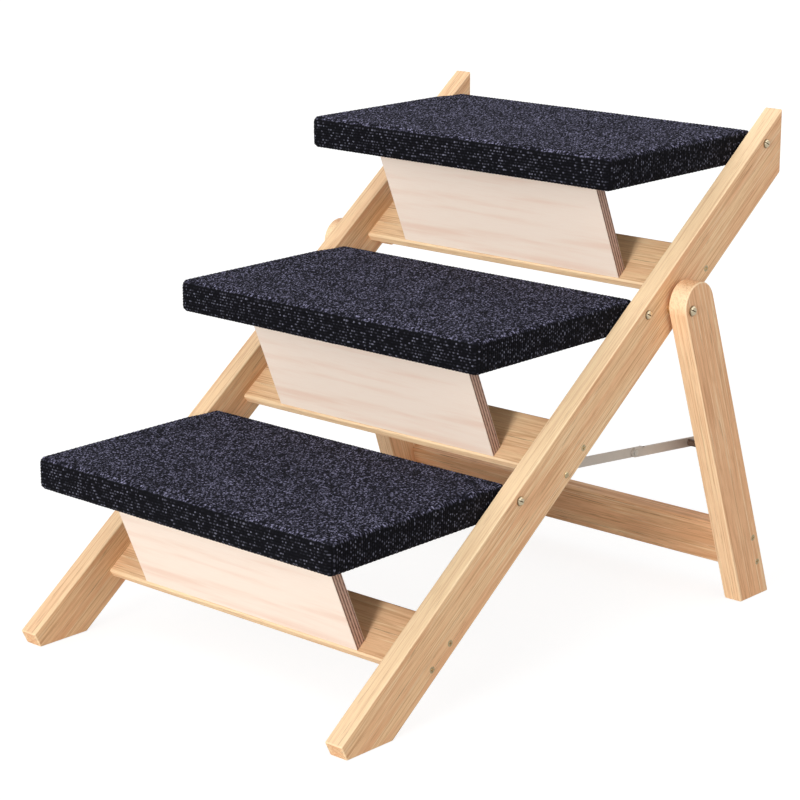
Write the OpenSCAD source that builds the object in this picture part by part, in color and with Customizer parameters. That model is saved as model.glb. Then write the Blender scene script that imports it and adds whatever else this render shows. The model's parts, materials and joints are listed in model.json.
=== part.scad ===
// Folding pet stairs: three carpeted treads hinged between two sloping side rails, each held up by a
// plywood panel that stands on a cross slat, with a rear leg frame locked by two folding steel stays.
// Millimetres. +Z is up, +Y runs from the lowest step to the highest, +X is the right-hand side.
// Places in the side view are given along the rail (from where its front edge meets the floor)
// and in depth (square to that edge, into the rail).

/* [Side rails] */
// Width over the outer faces of the two side rails
overall_w = 420; // [380:5:480]
// Width of the rail board, seen from the side
rail_w = 50; // [46:1:60]
// Thickness of the rail board
rail_t = 20; // [18:1:24]
// Slope of the rails above the floor, in degrees
rail_angle = 36.7; // [35:0.1:38]
// Rail's front edge, past the highest tread pivot
rail_past_pivot = 39.9; // [36:0.1:60]
// Height of the small chamfer on the toe of each rail
toe_chamfer_h = 14; // [8:1:18]
// Length of that chamfer along the floor
toe_chamfer_l = 7; // [4:1:10]

/* [Treads] */
// Distance between neighbouring tread pivots, along the rail
tread_pitch = 231.5; // [231:0.5:236]
// First tread pivot, along the rail
first_pivot_k = 308.6; // [304:0.2:311]
// Depth of the tread pivots behind the rail's front edge
pivot_depth = 9; // [8:0.5:10]
// Depth of a tread from its front to its rear edge, carpet included
tread_d = 229.5; // [224:0.5:230]
// Thickness of a tread, carpet included
tread_t = 29; // [28:0.5:31]
// Running gap between a tread's end and the rail
tread_side_gap = 2.4; // [2:0.1:4]
// Tread pivot's distance in front of the tread's rear edge
pivot_from_rear = 8; // [7.5:0.1:9]
// Tread pivot's distance below the tread's top
pivot_from_top = 10; // [9.5:0.1:12]
// Thickness of the carpet on the top, front, ends and underside
carpet_t = 4.5; // [3.5:0.1:4.8]
// Thickness of the carpet stretched round the rear edge
carpet_rear_t = 2.5; // [1.5:0.1:3]
// Radius of a tread's long edges, carpet included
tread_edge_r = 7; // [5:0.5:9]
// Width of the carpet's turned-under hem
hem_w = 28; // [20:1:34]

/* [Support panels] */
// Width of a support panel
panel_w = 276; // [220:2:290]
// Thickness of a support panel
panel_t = 12; // [9:1:15]
// Panel's front face, behind the tread's front edge at the tread's underside
panel_set = 41.2; // [38:0.1:48]
// Panel's foot, above the slat's lower edge
panel_foot_up = 1.5; // [1:0.1:6]

/* [Cross slats] */
// Width of a cross slat, along the rail
slat_w = 57.5; // [50:0.5:62]
// Thickness of a cross slat
slat_t = 10; // [8:0.5:12]
// Depth of a slat's front face behind the rail's front edge
slat_depth = 25.3; // [22:0.1:26]
// Slat's lower edge, above the tread pivot one step down along the rail
slat_above_pivot = 47.2; // [43:0.1:51]
// Width of the cleat behind each slat end
cleat_w = 16; // [14:1:20]
// Thickness of that cleat
cleat_t = 12; // [11:0.5:14]
// Cleat's ends, inside the slat's edges
cleat_inset = 9; // [8:0.5:11]

/* [Rear legs] */
// Leg pivot, below the upper slat's lower edge along the rail
leg_pivot_below_slat = 17; // [12:0.1:24]
// Leg pivot's depth behind the rail's front edge
leg_pivot_depth = 30; // [28:0.5:32]
// Steepness of the legs, in degrees from the floor
leg_angle = 70.7; // [69:0.1:73]
// Width of a leg
leg_w = 45.4; // [42:0.1:48]
// Thickness of a leg
leg_t = 20; // [16:1:22]
// Leg pivot's distance behind the leg's front edge
leg_pivot_in = 10; // [9:0.5:12]
// Gap between a rail and its leg
leg_gap = 3.9; // [3:0.1:6]
// Width of the crossbar between the legs
crossbar_w = 49; // [45:1:55]
// Thickness of the crossbar
crossbar_t = 14.4; // [13:0.1:15]
// Crossbar's upper edge, below the leg pivot along the leg
crossbar_u = 267.5; // [255:0.5:275]

/* [Folding stays] */
// Width of the flat steel stay bars
stay_w = 9.2; // [8.6:0.1:9.6]
// Thickness of a stay bar
stay_t = 2; // [1.6:0.1:2]
// Stay bolt in the rail, above the middle slat's lower edge along the rail
stay_bolt_up = 11.7; // [10:0.1:14]
// Stay bolt's depth behind the rail's front edge
stay_bolt_depth = 41; // [40.8:0.1:42]
// Stay's end on the leg, below the leg pivot along the leg
stay_leg_u = 165; // [160:0.5:170]
// Angle through which the rear legs fold, in degrees
leg_fold = 65; // [55:1:66]

/* [Fasteners] */
// Radius of the tread pivot bolts
tread_bolt_r = 2.5; // [2:0.1:2.8]
// Radius of the heads of the pivot bolts
bolt_head_r = 4.4; // [4.2:0.1:5.5]
// Height of those heads
bolt_head_h = 2.4; // [1.8:0.1:3]
// Radius of the leg pivot bolts
leg_bolt_r = 3; // [2.5:0.1:3.5]
// Radius of the countersunk screws in the rails and legs
screw_r = 1.9; // [1.6:0.1:2.2]
// Radius of their heads
screw_head_r = 3.2; // [3:0.1:3.6]
// Length of a butt hinge
hinge_l = 50; // [40:1:60]
// Width of one hinge leaf
hinge_leaf_w = 20; // [16:0.5:24]
// Thickness of a hinge leaf
hinge_t = 1.2; // [1:0.1:1.4]
// Radius of the hinge knuckles
knuckle_r = 2.6; // [2.2:0.1:2.7]

/* [Hidden] */
$fn = 40;

// Colours
rail_colour = [0.91, 0.74, 0.53];
slat_colour = [0.90, 0.72, 0.50];
leg_colour = [0.89, 0.70, 0.49];
ply_colour = [0.95, 0.87, 0.79];
board_colour = [0.86, 0.71, 0.52];
carpet_colour = [0.10, 0.10, 0.14];
steel_colour = [0.72, 0.71, 0.69];
bolt_colour = [0.80, 0.78, 0.70];
washer_colour = [0.78, 0.77, 0.73];

// Clearances
fit = 0.05;          // radial, where a fastener fills its hole
running = 0.1;       // radial, where a piece turns on a bolt
rest_gap = 0.3;      // between faces on pieces that move apart
overrun = 1;         // how far a cut passes through a face

// Places in the side view, as [y, z]
function rail_at(k, d) =
    [k * cos(rail_angle) + d * sin(rail_angle), k * sin(rail_angle) - d * cos(rail_angle)];
steps = 3;
rise_k = (steps - 1) * tread_pitch;      // from the first tread pivot to the highest, along the rail
rail_top_z = (first_pivot_k + rise_k + rail_past_pivot) * sin(rail_angle);
rail_top_y = rail_top_z / tan(rail_angle);
rail_heel_y = rail_w / sin(rail_angle);
toe = [toe_chamfer_h / tan(rail_angle), toe_chamfer_h];
mid_y = (toe[0] + rail_top_y) / 2;
rail_out = overall_w / 2;
rail_in = rail_out - rail_t;

// First tread; the others repeat it along the rail
pivot = rail_at(first_pivot_k, pivot_depth);
tread_w = 2 * (rail_in - tread_side_gap);
tread_back = pivot[0] + pivot_from_rear;
tread_front = tread_back - tread_d;
tread_top = pivot[1] + pivot_from_top;
board_w = tread_w - 2 * carpet_t;
board_t = tread_t - 2 * carpet_t;
board_front = tread_front + carpet_t;
board_d = tread_d - carpet_t - carpet_rear_t;
board_under = tread_top - carpet_t - board_t;
board_edge_r = tread_edge_r - carpet_t;
bush_r = 3.6;
bush_l = 22;
bolt_short = 2;      // how far a pivot bolt ends before its bush or insert
bolt_in = bush_l - bolt_short;
washer_t = tread_side_gap - rest_gap;
washer_r = 6.5;
carpet_bore_clear = 0.5;

// Slats and their cleats
slat_k = first_pivot_k - tread_pitch + slat_above_pivot;
slat_edge_r = 2.2;
slat_back = slat_depth + slat_t;
cleat_screw_in = 13.8;
cleat_screw_set = 4.5;
cleat_screw_depth = slat_back + cleat_screw_set;
cleat_screw_hold = 12;
cleat_screw_l = rail_t + cleat_screw_hold;
slat_screw_share = 0.7;
slat_screw_l = cleat_t + slat_t * slat_screw_share;
// The middle cleats are short and sit above the stay bolts
short_cleat_clear = 23.5;
short_cleat_start = stay_bolt_up + short_cleat_clear;
short_cleat_inset = 2;
short_cleat_screw_in = 7;
cleat_spans = [
    [cleat_inset, slat_w - cleat_inset],
    [short_cleat_start, slat_w - short_cleat_inset],
    [cleat_inset, slat_w - cleat_inset]];
cleat_screw_ks = [
    [cleat_screw_in, slat_w - cleat_screw_in],
    [slat_w - cleat_screw_in],
    [cleat_screw_in, slat_w - cleat_screw_in]];
slat_screw_ks = [slat_w / 2, slat_w - short_cleat_screw_in, slat_w / 2];

// Support panel: its front face runs from below the tread to the slat's front face
panel_head = [tread_front + panel_set, tread_top - tread_t];
panel_toe = rail_at(slat_k + panel_foot_up, slat_depth);
panel_angle = atan2(panel_toe[1] - panel_head[1], panel_toe[0] - panel_head[0]);
panel_dir = [cos(panel_angle), sin(panel_angle)];
panel_back = [-sin(panel_angle), cos(panel_angle)];
axis_set = 3;        // hinge axis, from the panel's back face and from the board's underside
function panel_line(off) = panel_head + off * panel_back;
function panel_at_z(off, z) =
    panel_line(off) + panel_dir * (z - panel_line(off)[1]) / panel_dir[1];
function panel_at_depth(off, depth) =
    panel_line(off) + panel_dir *
    (depth - (panel_line(off)[0] * sin(rail_angle) - panel_line(off)[1] * cos(rail_angle))) /
    (panel_dir[0] * sin(rail_angle) - panel_dir[1] * cos(rail_angle));
hinge_axis = panel_at_z(panel_t + axis_set, board_under - axis_set);
hinge_inset = 55;     // hinge's middle, inside the panel's end
hinge_x = panel_w / 2 - hinge_inset;
knuckles = 5;
knuckle_l = hinge_l / knuckles;
knuckle_gap = 0.3;
pin_r = 1.2;
pin_head_r = 1.9;
pin_head_h = 1;
leaf_clear = knuckle_r + rest_gap;
leaf_screw_r = 1.5;
leaf_screw_head_r = 2.6;
leaf_screw_l = 9;
leaf_screw_across_share = 0.34;
leaf_screw_near_share = 0.4;
leaf_screw_far_share = 0.75;
leaf_screws = [
    [-hinge_l * leaf_screw_across_share, hinge_leaf_w * leaf_screw_near_share],
    [hinge_l * leaf_screw_across_share, hinge_leaf_w * leaf_screw_near_share],
    [0, hinge_leaf_w * leaf_screw_far_share]];

// Leg frame: u runs down the leg from the pivot, n runs towards its back edge
leg_pivot = rail_at(slat_k + rise_k - leg_pivot_below_slat, leg_pivot_depth);
leg_dir = [cos(leg_angle), -sin(leg_angle)];
leg_back = [sin(leg_angle), cos(leg_angle)];
function leg_at(u, n) = leg_pivot + u * leg_dir + n * leg_back;
function leg_floor(n) = (leg_pivot[1] + n * leg_back[1]) / sin(leg_angle);
leg_in = rail_out + leg_gap;
leg_out = leg_in + leg_t;
leg_n_back = leg_w - leg_pivot_in;
leg_n_mid = leg_w / 2 - leg_pivot_in;
crossbar_edge_r = 2;
crossbar_screw_in = 10;
crossbar_screw_set = 8.5;
crossbar_screw_hold = 24;
crossbar_screw_l = leg_t + crossbar_screw_hold;
insert_r = 5;
insert_l = 14;
leg_spacer_r = 7;
leg_bolt_head_r = 5;
leg_top_up = 21.2;

// Folding stays: straight when the legs are out, doubled back on themselves when they are folded
function turned(p, c, a) = c + [
    cos(a) * (p[0] - c[0]) - sin(a) * (p[1] - c[1]),
    sin(a) * (p[0] - c[0]) + cos(a) * (p[1] - c[1])];
stay_low = rail_at(slat_k + tread_pitch + stay_bolt_up, stay_bolt_depth);
stay_high = leg_at(stay_leg_u, leg_n_mid);
stay_folded = turned(stay_high, leg_pivot, -leg_fold);
stay_len = norm(stay_high - stay_low);
stay_front_l = (stay_len + norm(stay_folded - stay_low)) / 2;
stay_dir = (stay_high - stay_low) / stay_len;
stay_up = [-stay_dir[1], stay_dir[0]];
stay_mid = stay_low + stay_dir * stay_front_l;
stay_gap = 0.2;
rivet_r = 1.9;
rivet_head_r = 3.1;
rivet_head_h = 1;
stay_side_gap = 0.5;
stay_rear_x = rail_in - stay_side_gap - rivet_head_h - stay_t;
stay_front_x = stay_rear_x - stay_gap - stay_t;
end_rivet_head_h = 1;
stop_on = 12.5;
stop_r = 1.5;
stop_clear = 0.1;
stop_head_r = 2.2;
stop_rise = stay_w / 2 - stop_head_r;
stop_way = 26;       // degrees about the joint before the stop is out of its notch
stop_way_step = 2;
stay_sleeve_r = 4.5;
stay_spacer_r = 3.4;
spacer_in = stay_rear_x + stay_t + rest_gap;
stud_r = 2;
stud_cover = 2;
stud_in = spacer_in + stud_cover;
stud_share = 0.75;
stay_bolt_r = 2.5;
stay_bolt_head_h = 1.2;
stay_tail = 9;       // how far a rear stay bar runs on past its leg pivot
stay_nut_r = 4.6;
stay_nut_h = 4;
stay_stop = stay_mid + stay_dir * stop_on + stay_up * stop_rise;

// Staples that hold the carpet's turned-under hem
staple_w = 11;
staple_t = 0.7;
staple_wire = 1.3;
staple_bite = 5.5;
staple_leg = carpet_t + staple_bite;
staple_pitch = 52;
rear_row_share = 0.65;

// Shapes of the screws and bolts
screw_tip_share = 0.25;
recess_l_share = 0.6;
recess_w_share = 0.12;
recess_depth_share = 0.7;
rim_share = 0.45;
crown_share = 0.72;
slot_w_share = 0.1;
slot_floor_share = 0.5;
slot_turn = 64;      // degrees from upright, toward the rear

// Helpers
module part(c) color(c) translate([0, -mid_y, 0]) children();
module side(x, t) translate([x, 0, 0]) rotate([90, 0, 90]) linear_extrude(t) children();
module both() for (s = [0, 1]) mirror([s, 0, 0]) children();
module hand(left) mirror([left ? 1 : 0, 0, 0]) children();
module at_step(i)
    translate([0, i * tread_pitch * cos(rail_angle), i * tread_pitch * sin(rail_angle)])
        children();
module along_x(x, p) translate([x, p[0], p[1]]) rotate([0, 90, 0]) children();
module rail_frame(k, d) {
    p = rail_at(k, d);
    translate([0, p[0], p[1]]) rotate([rail_angle, 0, 0]) children();
}

// A rectangle from the origin with its four corners rounded to true arcs
module round_rect(w, h, r) {
    translate([r, 0]) square([w - 2 * r, h]);
    translate([0, r]) square([w, h - 2 * r]);
    for (x = [r, w - r], y = [r, h - r]) translate([x, y]) circle(r);
}

module tube(h, r, bore_r) difference() {
    cylinder(h = h, r = r);
    translate([0, 0, -overrun]) cylinder(h = h + 2 * overrun, r = bore_r);
}

// A countersunk screw down -Z with its head's top at zero, and the hole that it fills
module screw(l, r, head_r) {
    cone = head_r - r;
    tip = 2 * r;
    difference() {
        union() {
            translate([0, 0, -cone]) cylinder(h = cone, r1 = r, r2 = head_r);
            translate([0, 0, tip - l]) cylinder(h = l - tip - cone, r = r);
            translate([0, 0, -l]) cylinder(h = tip, r1 = r * screw_tip_share, r2 = r);
        }
        for (a = [0, 90]) rotate([0, 0, a])
            translate([-head_r * recess_l_share, -head_r * recess_w_share, -cone * recess_depth_share])
                cube([2 * head_r * recess_l_share, 2 * head_r * recess_w_share, cone]);
    }
}
module screw_hole(l, r, head_r) {
    cone = head_r - r;
    translate([0, 0, -cone - fit]) cylinder(h = cone, r1 = r, r2 = head_r);
    translate([0, 0, -fit]) cylinder(h = overrun, r = head_r);
    translate([0, 0, -l]) cylinder(h = l, r = r + fit);
}

// A domed bolt down -Z with its slotted head standing on the plane z = 0
module bolt(l, r, head_r, head_h) {
    translate([0, 0, -l]) cylinder(h = l, r = r);
    difference() {
        union() {
            cylinder(h = head_h * rim_share, r = head_r);
            translate([0, 0, head_h * rim_share])
                cylinder(h = head_h - head_h * rim_share, r1 = head_r, r2 = head_r * crown_share);
        }
        rotate([0, 0, slot_turn])
            translate([-head_r, -head_r * slot_w_share, head_h * slot_floor_share])
                cube([2 * head_r, 2 * head_r * slot_w_share, head_h]);
    }
}

// Side rails
module rail_bore(p, r)
    along_x(rail_in - overrun, p) cylinder(h = rail_t + 2 * overrun, r = r + fit);
module rail(left) part(rail_colour) hand(left) difference() {
    side(rail_in, rail_t)
        polygon([toe, [toe[0] + toe_chamfer_l, 0], [rail_heel_y, 0],
            [rail_top_y, (rail_top_y - rail_heel_y) * tan(rail_angle)], [rail_top_y, rail_top_z]]);
    for (i = [0:steps - 1]) at_step(i) {
        rail_bore(pivot, tread_bolt_r);
        cleat_screw_places(i) screw_hole(cleat_screw_l, screw_r, screw_head_r);
    }
    along_x(rail_out - insert_l, leg_pivot) cylinder(h = insert_l + overrun, r = insert_r + fit);
    rail_bore(stay_low, stay_bolt_r);
}
module rail_left() rail(true);
module rail_right() rail(false);

// Cross slats, their cleats and screws
module cleat_screw_places(i)
    for (k = cleat_screw_ks[i]) along_x(rail_out, rail_at(slat_k + k, cleat_screw_depth)) children();
module slat_screw_place(i)
    rail_frame(slat_k + slat_screw_ks[i], slat_back + cleat_t)
        translate([rail_in - cleat_w / 2, 0, 0]) rotate([180, 0, 0]) children();
module slat(i) part(slat_colour) at_step(i) difference() {
    side(-rail_in, 2 * rail_in)
        translate(rail_at(slat_k, slat_back)) rotate(rail_angle)
            round_rect(slat_w, slat_t, slat_edge_r);
    both() slat_screw_place(i) screw_hole(slat_screw_l, screw_r, screw_head_r);
}
module lower_slat() slat(0);
module middle_slat() slat(1);
module upper_slat() slat(2);
module cleat(i) difference() {
    rail_frame(slat_k + cleat_spans[i][0], slat_back + cleat_t)
        translate([rail_in - cleat_w, 0, 0])
            cube([cleat_w, cleat_spans[i][1] - cleat_spans[i][0], cleat_t]);
    cleat_screw_places(i) screw_hole(cleat_screw_l, screw_r, screw_head_r);
    slat_screw_place(i) screw_hole(slat_screw_l, screw_r, screw_head_r);
}
module each_cleat() for (i = [0:steps - 1]) at_step(i) both() cleat(i);
module slat_cleats() part(board_colour) each_cleat();
module cleat_screws() part(bolt_colour) for (i = [0:steps - 1]) at_step(i) both()
    cleat_screw_places(i) screw(cleat_screw_l, screw_r, screw_head_r);
module slat_fixing_screws() part(bolt_colour) for (i = [0:steps - 1]) at_step(i) both()
    slat_screw_place(i) screw(slat_screw_l, screw_r, screw_head_r);

// Tread pivots: bolts fixed in the rails, on which the treads' bushes turn
module tread_pivot_bolts() part(bolt_colour) for (i = [0:steps - 1]) at_step(i) both()
    along_x(rail_out, pivot)
        bolt(rail_t + tread_side_gap + bolt_in, tread_bolt_r, bolt_head_r, bolt_head_h);
module tread_pivot_washers() part(washer_colour) for (i = [0:steps - 1]) at_step(i) both()
    along_x(rail_in - washer_t, pivot) tube(washer_t, washer_r, tread_bolt_r + fit);

// Leg pivots: bolts held by threaded inserts in the rails, on which the legs turn
module leg_pivot_bolts() part(bolt_colour) both()
    along_x(leg_out + rest_gap, leg_pivot)
        bolt(rest_gap + leg_t + leg_gap + insert_l - bolt_short, leg_bolt_r, leg_bolt_head_r,
            bolt_head_h);
module leg_pivot_spacers() part(washer_colour) both()
    along_x(rail_out, leg_pivot) tube(leg_gap - rest_gap, leg_spacer_r, leg_bolt_r + fit);
module leg_pivot_inserts() part(steel_colour) both()
    along_x(rail_out - insert_l, leg_pivot) tube(insert_l, insert_r, leg_bolt_r + fit);

// Rear legs and crossbar
module leg_outline() difference() {
    translate(leg_at(leg_w / 2 - leg_top_up, leg_n_mid)) rotate(-leg_angle) {
        circle(leg_w / 2);
        translate([0, -leg_w / 2]) square([leg_floor(leg_n_back), leg_w]);
    }
    translate([0, -leg_w]) square([rail_top_y + leg_w, leg_w]);
}
module crossbar_screw_places()
    for (u = [crossbar_screw_in, crossbar_w - crossbar_screw_in])
        along_x(leg_out, leg_at(crossbar_u + u, leg_n_back - crossbar_screw_set)) children();
module leg(left) part(leg_colour) hand(left) difference() {
    side(leg_in, leg_t) leg_outline();
    along_x(leg_in - overrun, leg_pivot)
        cylinder(h = leg_t + 2 * overrun, r = leg_bolt_r + running);
    crossbar_screw_places() screw_hole(crossbar_screw_l, screw_r, screw_head_r);
    along_x(leg_in - overrun, stay_high)
        cylinder(h = leg_t * stud_share + overrun, r = stud_r + fit);
}
module leg_left() leg(true);
module leg_right() leg(false);
module leg_crossbar() part(leg_colour) difference() {
    side(-leg_in, 2 * leg_in)
        translate(leg_at(crossbar_u, leg_n_back - crossbar_t)) rotate(-leg_angle)
            round_rect(crossbar_w, crossbar_t, crossbar_edge_r);
    both() crossbar_screw_places() screw_hole(crossbar_screw_l, screw_r, screw_head_r);
}
module crossbar_screws() part(bolt_colour) both()
    crossbar_screw_places() screw(crossbar_screw_l, screw_r, screw_head_r);

// Stay bolts through the rails, with a sleeve and a nut
module stay_rail_bolts() part(bolt_colour) both()
    along_x(rail_out, stay_low)
        bolt(rail_out - stay_front_x + stay_nut_h + stay_gap, stay_bolt_r, screw_head_r,
            stay_bolt_head_h);
module stay_rail_sleeves() part(washer_colour) both()
    along_x(stay_front_x + stay_t + stay_gap, stay_low)
        tube(rail_in - stay_front_x - stay_t - stay_gap, stay_sleeve_r, stay_bolt_r + fit);
module stay_rail_nuts() part(steel_colour) both()
    along_x(stay_front_x - stay_gap - stay_nut_h, stay_low) difference() {
        cylinder(h = stay_nut_h, r = stay_nut_r, $fn = 6);
        translate([0, 0, -overrun]) cylinder(h = stay_nut_h + 2 * overrun, r = stay_bolt_r + fit);
    }

// Stay bars: flat bars with round ends
module flat_bar(a, b, tail) {
    l = norm(b - a);
    translate(a) rotate(atan2(b[1] - a[1], b[0] - a[0])) {
        translate([0, -stay_w / 2]) square([l + tail, stay_w]);
        for (x = [0, l + tail]) translate([x, 0]) circle(stay_w / 2);
    }
}
module stay_bore(x, p, r) along_x(x - overrun, p) cylinder(h = stay_t + 2 * overrun, r = r);
module stay_front_bar(left) part(steel_colour) hand(left) {
    difference() {
        side(stay_front_x, stay_t) flat_bar(stay_low, stay_mid, stop_on);
        stay_bore(stay_front_x, stay_low, stay_bolt_r + running);
        stay_bore(stay_front_x, stay_mid, rivet_r + fit);
    }
    along_x(stay_front_x - rivet_head_h, stay_stop) cylinder(h = rivet_head_h, r = stop_head_r);
    along_x(stay_front_x, stay_stop) cylinder(h = stay_t + stay_gap + stay_t, r = stop_r);
}
module stay_front_bar_left() stay_front_bar(true);
module stay_front_bar_right() stay_front_bar(false);
module stay_joint_rivet(left) part(steel_colour) hand(left)
    along_x(stay_front_x - rivet_head_h, stay_mid) {
        l = stay_rear_x + stay_t - stay_front_x + stay_gap / 2 + 2 * rivet_head_h;
        cylinder(h = l, r = rivet_r);
        cylinder(h = rivet_head_h, r = rivet_head_r);
        translate([0, 0, l - rivet_head_h]) cylinder(h = rivet_head_h, r = rivet_head_r);
    }
module stay_joint_rivet_left() stay_joint_rivet(true);
module stay_joint_rivet_right() stay_joint_rivet(false);
module stay_rear_bar(left) part(steel_colour) hand(left) difference() {
    side(stay_rear_x, stay_t) flat_bar(stay_mid, stay_high, stay_tail);
    stay_bore(stay_rear_x, stay_mid, rivet_r + running);
    stay_bore(stay_rear_x, stay_high, rivet_r + fit);
    along_x(stay_rear_x - overrun, stay_high)
        cylinder(h = end_rivet_head_h + overrun, r = rivet_head_r + fit);
    for (a = [0:stop_way_step:stop_way])
        stay_bore(stay_rear_x, turned(stay_stop, stay_mid, a), stop_r + stop_clear);
}
module stay_rear_bar_left() stay_rear_bar(true);
module stay_rear_bar_right() stay_rear_bar(false);
module stay_end_rivet(left) part(steel_colour) hand(left)
    along_x(stay_rear_x, stay_high) {
        cylinder(h = stay_t, r = rivet_r);
        cylinder(h = end_rivet_head_h, r = rivet_head_r);
    }
module stay_end_rivet_left() stay_end_rivet(true);
module stay_end_rivet_right() stay_end_rivet(false);
module stay_leg_spacers() part(washer_colour) both()
    along_x(spacer_in, stay_high) difference() {
        cylinder(h = leg_in - spacer_in, r = stay_spacer_r);
        translate([0, 0, stud_in - spacer_in])
            cylinder(h = leg_in - stud_in + overrun, r = stud_r + fit);
    }
module stay_leg_studs() part(bolt_colour) both()
    along_x(stud_in, stay_high) cylinder(h = leg_in - stud_in + leg_t * stud_share, r = stud_r);

// Treads
module tread_profile(y, d, t, r) translate([y, tread_top - carpet_t - t]) round_rect(d, t, r);
module pivot_bores(x, l, r) both() along_x(x, pivot) cylinder(h = l, r = r);
module board(i) part(board_colour) at_step(i) difference() {
    side(-board_w / 2, board_w) tread_profile(board_front, board_d, board_t, board_edge_r);
    pivot_bores(board_w / 2 - bush_l, bush_l + overrun, bush_r + fit);
    staples();
    leaf_screw_places() screw_hole(leaf_screw_l, leaf_screw_r, leaf_screw_r);
}
module bushes(i) part(steel_colour) at_step(i) both()
    along_x(board_w / 2 - bush_l, pivot) tube(bush_l, bush_r, tread_bolt_r + running);
module carpet(i) part(carpet_colour) at_step(i) difference() {
    side(-tread_w / 2, tread_w)
        translate([tread_front, tread_top - tread_t]) round_rect(tread_d, tread_t, tread_edge_r);
    side(-board_w / 2, board_w) tread_profile(board_front, board_d, board_t, board_edge_r);
    translate([-tread_w / 2 + hem_w, tread_front + hem_w, tread_top - tread_t - overrun])
        cube([tread_w - 2 * hem_w, tread_d - 2 * hem_w, carpet_t + overrun + board_edge_r]);
    pivot_bores(board_w / 2 - overrun, carpet_t + 2 * overrun, tread_bolt_r + carpet_bore_clear);
    staples();
}

// Staples through the hem: rows along all four edges
module staple() {
    translate([-staple_w / 2, -staple_wire / 2, 0]) cube([staple_w, staple_wire, staple_t]);
    for (s = [-1, 1]) translate([s * (staple_w / 2 - staple_t / 2) - staple_t / 2,
        -staple_wire / 2, 0]) cube([staple_t, staple_wire, staple_leg]);
}
module staples() translate([0, 0, tread_top - tread_t]) {
    across = floor((tread_w - 2 * hem_w) / staple_pitch / 2);
    for (j = [-across:across], y = [tread_front + hem_w / 2, tread_back - hem_w * rear_row_share])
        translate([j * staple_pitch, y, 0]) staple();
    for (s = [-1, 1], j = [-1:1])
        translate([s * (tread_w - hem_w) / 2, tread_front + tread_d / 2 + j * staple_pitch, 0])
            rotate([0, 0, 90]) staple();
}
module staple_rows(i) part(steel_colour) at_step(i) staples();

// Butt hinges behind each support panel. A leaf lies in a plane through the hinge axis:
// it runs along +Y from the axis, with its outer face axis_set above it
module leaf(first, clear) {
    difference() {
        union() {
            translate([-hinge_l / 2, leaf_clear, axis_set - hinge_t])
                cube([hinge_l, hinge_leaf_w - leaf_clear, hinge_t]);
            for (j = [first:2:knuckles - 1]) translate([-hinge_l / 2 + j * knuckle_l, 0, 0]) {
                translate([knuckle_gap / 2, 0, 0]) rotate([0, 90, 0])
                    cylinder(h = knuckle_l - knuckle_gap, r = knuckle_r);
                translate([knuckle_gap / 2, 0, axis_set - hinge_t])
                    cube([knuckle_l - knuckle_gap, leaf_clear + overrun, hinge_t]);
            }
        }
        rotate([0, 90, 0]) translate([0, 0, -hinge_l / 2 - overrun])
            cylinder(h = hinge_l + 2 * overrun, r = pin_r + clear);
        leaf_screw_spots() screw_hole(leaf_screw_l, leaf_screw_r, leaf_screw_head_r);
    }
}
// Screws enter a leaf from the axis side and point away from it
module leaf_screw_spots()
    for (p = leaf_screws) translate([p[0], p[1], axis_set - hinge_t])
        rotate([180, 0, 0]) children();
module tread_leaf_place()
    for (s = [-1, 1]) translate([s * hinge_x, hinge_axis[0], hinge_axis[1]]) children();
module panel_leaf_place()
    for (s = [-1, 1]) translate([s * hinge_x, hinge_axis[0], hinge_axis[1]])
        rotate([panel_angle, 0, 0]) mirror([0, 0, 1]) children();
module leaf_screw_places() tread_leaf_place() leaf_screw_spots() children();
module panel_screw_places() panel_leaf_place() leaf_screw_spots() children();
module tread_leaves(i) part(steel_colour) at_step(i) tread_leaf_place() leaf(0, fit);
module tread_leaf_screws(i) part(bolt_colour) at_step(i)
    leaf_screw_places() screw(leaf_screw_l, leaf_screw_r, leaf_screw_head_r);
module panel_leaves(i) part(steel_colour) at_step(i) panel_leaf_place() leaf(1, running);
module panel_leaf_screws(i) part(bolt_colour) at_step(i)
    panel_screw_places() screw(leaf_screw_l, leaf_screw_r, leaf_screw_head_r);
module pins(i) part(steel_colour) at_step(i)
    for (s = [-1, 1]) along_x(s * hinge_x - hinge_l / 2, hinge_axis) {
        cylinder(h = hinge_l, r = pin_r);
        for (z = [-pin_head_h, hinge_l]) translate([0, 0, z]) cylinder(h = pin_head_h, r = pin_head_r);
    }

// Support panels
module panel(i) part(ply_colour) at_step(i) difference() {
    side(-panel_w / 2, panel_w)
        polygon([panel_at_z(0, board_under - rest_gap), panel_at_z(panel_t, board_under - rest_gap),
            panel_at_depth(panel_t, slat_depth - rest_gap),
            panel_at_depth(0, slat_depth - rest_gap)]);
    panel_screw_places() screw_hole(leaf_screw_l, leaf_screw_r, leaf_screw_r);
}

// The three steps' pieces, from the lowest step up
module tread_board_1() board(0);
module tread_carpet_1() carpet(0);
module tread_bushes_1() bushes(0);
module carpet_staples_1() staple_rows(0);
module hinge_tread_leaves_1() tread_leaves(0);
module hinge_pins_1() pins(0);
module hinge_tread_screws_1() tread_leaf_screws(0);
module support_panel_1() panel(0);
module hinge_panel_leaves_1() panel_leaves(0);
module hinge_panel_screws_1() panel_leaf_screws(0);
module tread_board_2() board(1);
module tread_carpet_2() carpet(1);
module tread_bushes_2() bushes(1);
module carpet_staples_2() staple_rows(1);
module hinge_tread_leaves_2() tread_leaves(1);
module hinge_pins_2() pins(1);
module hinge_tread_screws_2() tread_leaf_screws(1);
module support_panel_2() panel(1);
module hinge_panel_leaves_2() panel_leaves(1);
module hinge_panel_screws_2() panel_leaf_screws(1);
module tread_board_3() board(2);
module tread_carpet_3() carpet(2);
module tread_bushes_3() bushes(2);
module carpet_staples_3() staple_rows(2);
module hinge_tread_leaves_3() tread_leaves(2);
module hinge_pins_3() pins(2);
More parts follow.
